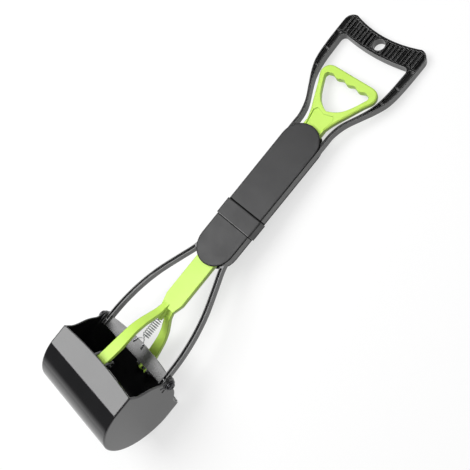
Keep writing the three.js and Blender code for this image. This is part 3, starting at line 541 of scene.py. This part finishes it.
SHADOW_GAP_PROUD = 0.1
SHADOW_GAP_CORNER = 0.6
SHADOW_GAP_WALL = 0.4
UPPER_SHADOW_GAP_LENGTH = 1.7
LOWER_SHADOW_GAP_LENGTH = 1.3
HIGHLIGHT_RING_PROUD = 0.05
HIGHLIGHT_RING_LENGTH = 0.7
HIGHLIGHT_RING_CORNER = 1
HIGHLIGHT_RING_WALL = 0.3
RING_DEGREES = 30


def collar(name, height, length, half_width, half_depth, corner, wall, look):
    """A thin ring, its outline a rectangle with cut corners; sizes in millimetres."""
    def outline(grow):
        y, f = half_width + grow, half_depth + grow
        return [(y, f - corner), (y - corner, f), (corner - y, f), (-y, f - corner),
                (-y, corner - f), (corner - y, -f), (y - corner, -f), (y, corner - f)]

    end = height + length
    work = bmesh.new()
    rows = [
        [work.verts.new(at(u, y, f)) for y, f in outline(grow)]
        for u, grow in ((height, 0), (end, 0), (end, -wall), (height, -wall))
    ]
    skin(work, rows + rows[:1], len(rows[0]))
    mesh = as_mesh(work, name)
    shade(mesh, RING_DEGREES)
    add_piece(name, mesh, "frame", "cover_black", look=look)


band_us, band_ys, band_fs = extent("joining_band")
_, cover_ys, cover_fs = extent("upper_front_cover")
shadow_gap = (cover_ys[1] + SHADOW_GAP_PROUD, cover_fs[1] + SHADOW_GAP_PROUD, SHADOW_GAP_CORNER, SHADOW_GAP_WALL, shadow_gap_black)
highlight_ring = (band_ys[1] + HIGHLIGHT_RING_PROUD, band_fs[1] + HIGHLIGHT_RING_PROUD, HIGHLIGHT_RING_CORNER, HIGHLIGHT_RING_WALL, band_highlight_grey)
# Black rings of painted shadow at both ends of the band
collar("band_shadow_gap_upper", band_us[1], UPPER_SHADOW_GAP_LENGTH, *shadow_gap)
collar("band_shadow_gap_lower", band_us[0] - LOWER_SHADOW_GAP_LENGTH, LOWER_SHADOW_GAP_LENGTH, *shadow_gap)
# A grey ring of painted highlight on the band's lower edge
collar("band_highlight_ring", band_us[0] - HIGHLIGHT_RING_PROUD, HIGHLIGHT_RING_LENGTH, *highlight_ring)

# The spring and its staple, as round wire

WIRE_SIDES = 12
WIRE_DEGREES = 60
SPRING_WIRE = 0.55
SPRING_TURNS = 9
SPRING_RADIUS = 4.75
SPRING_BOTTOM = 19.3
SPRING_TOP = 47.0
SPRING_FRONT = 1.0
STEPS_A_TURN = 20
END_SHARE = 0.3
END_STEPS = 8
HOOK_RISE = 0.3
FOOT_HEIGHTS = (17.9, 18.3)
HEAD_HEIGHTS = (47.3, 47.5)
STAPLE_WIRE = 0.7
STAPLE_POINTS = [
    (5.6, -6.6, -4.8), (5.6, -6.6, 2.8), (12.6, -5.1, 2.8), (16.8, -1.6, 1),
    (16.8, 1.6, 1), (12.6, 6.5, 2.8), (5.6, 8.0, 2.8), (5.6, 8.0, -4.8),
]
BEND_SHARE = 0.35
BEND_STEPS = 5


def softened(points):
    """A route with its corners rounded: each is cut back by a share of its shorter side."""
    points = [Vector(p) for p in points]
    route = [points[0]]
    for before, corner, after in zip(points, points[1:], points[2:]):
        back, on = before - corner, after - corner
        cut = BEND_SHARE * min(back.length, on.length)
        start, end = corner + back.normalized() * cut, corner + on.normalized() * cut
        for i in range(BEND_STEPS + 1):
            t = i / BEND_STEPS
            route.append(start.lerp(corner, t).lerp(corner.lerp(end, t), t))
    route.append(points[-1])
    return route


def wire(name, points, radius):
    """A round wire along drawing-frame points, with closed ends."""
    route = [at(*p) for p in points]
    work = bmesh.new()
    rows = []
    side = (route[1] - route[0]).orthogonal().normalized()
    for i, point in enumerate(route):
        ahead = (route[min(i + 1, len(route) - 1)] - route[max(i - 1, 0)]).normalized()
        side = (side - ahead * side.dot(ahead)).normalized()
        rows.append(circle(work, point, side, ahead.cross(side), radius, WIRE_SIDES))
    skin(work, rows, WIRE_SIDES)
    work.faces.new(rows[0][::-1])
    work.faces.new(rows[-1])
    mesh = as_mesh(work, name)
    shade(mesh, WIRE_DEGREES)
    return mesh


def spring_route():
    """A coil whose radius runs out at both ends, and a short straight end on its axis at each."""
    steps = SPRING_TURNS * STEPS_A_TURN
    coil = []
    for i in range(steps + 1):
        angle = 2 * math.pi * SPRING_TURNS * i / steps
        ramp = min(1, END_SHARE + (1 - END_SHARE) * min(i, steps - i) / END_STEPS)
        coil.append((
            SPRING_BOTTOM + (SPRING_TOP - SPRING_BOTTOM) * i / steps,
            SPRING_RADIUS * ramp * math.sin(angle),
            SPRING_FRONT + SPRING_RADIUS * ramp * math.cos(angle),
        ))
    raised = SPRING_FRONT + HOOK_RISE
    foot = [(FOOT_HEIGHTS[0], 0, SPRING_FRONT), (FOOT_HEIGHTS[1], 0, raised)]
    head = [(HEAD_HEIGHTS[0], 0, raised), (HEAD_HEIGHTS[1], 0, SPRING_FRONT)]
    return foot + coil + head


wound = wire("return_spring_wound", spring_route(), SPRING_WIRE)
spring = add_piece(
    "return_spring_wound", wound, None, slots["return_spring"], "return_spring", look=spring_steel)
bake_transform(spring)

staple = wire("spring_staple_bent", softened(STAPLE_POINTS), STAPLE_WIRE)
add_piece("spring_staple_bent", staple, "frame", slots["spring_staple"], "spring_staple")

# Floor, light and camera

FLOOR_REACH = 40
FLOOR_TONE = 0.36
FLOOR_LIFT = 0.64  # with the tone, white in even light
FLOOR_ROUGHNESS = 0.9
FLOOR_SPECULAR = 0.1
HORIZON_LEVEL = 1
OVERHEAD_LEVEL = 0.1
WORLD_SPAN = (0.02, 0.3)  # the upward share of a direction, from the horizon's light to the dark
# The photograph's size and the distance from the lens to it, both in pixels
PHOTO_PIXELS = 470
FOCAL_PIXELS = 639.8
SENSOR_WIDTH = 36
NEAR_CLIP = 0.01
CAMERA_RIGHT = (0.6288, -0.6823, -0.3730)
CAMERA_DOWN = (-0.7769, -0.5706, -0.2660)
CAMERA_PLACE = (212.3, -366.1, 696.9)


def add_floor():
    """A pale floor that looks white to the camera and in reflections, but keeps shadows."""
    mesh = bpy.data.meshes.new("floor")
    corners = [(a * FLOOR_REACH, b * FLOOR_REACH, 0) for a, b in CORNER_SIGNS]
    mesh.from_pydata(corners, [], [(0, 1, 2, 3)])
    floor = placed("floor", mesh)
    material, tree, shader = new_material("floor")
    set_inputs(
        shader, Base_Color=(FLOOR_TONE, FLOOR_TONE, FLOOR_TONE, 1),
        Roughness=FLOOR_ROUGHNESS, Specular_IOR_Level=FLOOR_SPECULAR)
    path = tree.nodes.new("ShaderNodeLightPath")
    seen = combined(tree, "MAXIMUM", path.outputs["Is Camera Ray"], path.outputs["Is Glossy Ray"])
    lift = tree.nodes.new("ShaderNodeEmission")
    set_inputs(lift, Color=WHITE)
    tree.links.new(combined(tree, "MULTIPLY", seen, FLOOR_LIFT), lift.inputs["Strength"])
    both = tree.nodes.new("ShaderNodeAddShader")
    tree.links.new(shader.outputs["BSDF"], both.inputs[0])
    tree.links.new(lift.outputs["Emission"], both.inputs[1])
    tree.links.new(both.outputs["Shader"], tree.nodes["Material Output"].inputs["Surface"])
    mesh.materials.append(material)


def add_softbox(name, centre, width, depth, radiance):
    """An even rectangular light that looks straight down, its width along X."""
    light = bpy.data.lights.new(name, "AREA")
    light.shape = "RECTANGLE"
    light.size = width
    light.size_y = depth
    light.energy = radiance * math.pi * width * depth
    lamp = placed(name, light)
    lamp.location = centre
    return lamp


def add_world():
    """A room that is bright at the horizon and dark overhead; the camera sees it white."""
    world = bpy.data.worlds.new("studio")
    bpy.context.scene.world = world
    world.use_nodes = True
    tree = world.node_tree
    place = tree.nodes.new("ShaderNodeTexCoord")
    split = tree.nodes.new("ShaderNodeSeparateXYZ")
    tree.links.new(place.outputs["Generated"], split.inputs["Vector"])
    level = spread(tree, split.outputs["Z"], HORIZON_LEVEL, OVERHEAD_LEVEL, WORLD_SPAN)
    path = tree.nodes.new("ShaderNodeLightPath")
    background = tree.nodes["Background"]
    set_inputs(background, Color=WHITE)
    seen = combined(tree, "MAXIMUM", level, path.outputs["Is Camera Ray"])
    tree.links.new(seen, background.inputs["Strength"])


def add_camera():
    """The photograph's view, from a camera fitted to it."""
    data = bpy.data.cameras.new("camera")
    data.sensor_width = SENSOR_WIDTH
    data.lens = SENSOR_WIDTH * FOCAL_PIXELS / PHOTO_PIXELS
    data.clip_start = NEAR_CLIP
    camera = placed("camera", data)
    right = along(*CAMERA_RIGHT)
    ahead = right.cross(along(*CAMERA_DOWN)).normalized()
    down = ahead.cross(right).normalized()
    turn = Matrix((right, -down, -ahead)).transposed().to_4x4()
    camera.matrix_world = Matrix.Translation(at(*CAMERA_PLACE)) @ turn
    bpy.context.scene.camera = camera


add_floor()
add_world()
add_softbox("key", centre=(-0.22, 0.8, 1.5), width=1.16, depth=1.3, radiance=4.5)
fill = add_softbox("fill", centre=(0.3, -0.2, 1.8), width=2.6, depth=2.6, radiance=1.1)
fill.visible_glossy = False  # it lights matte surfaces and isn't mirrored in the glossy ones
add_camera()
bpy.context.scene.view_settings.view_transform = "Standard"
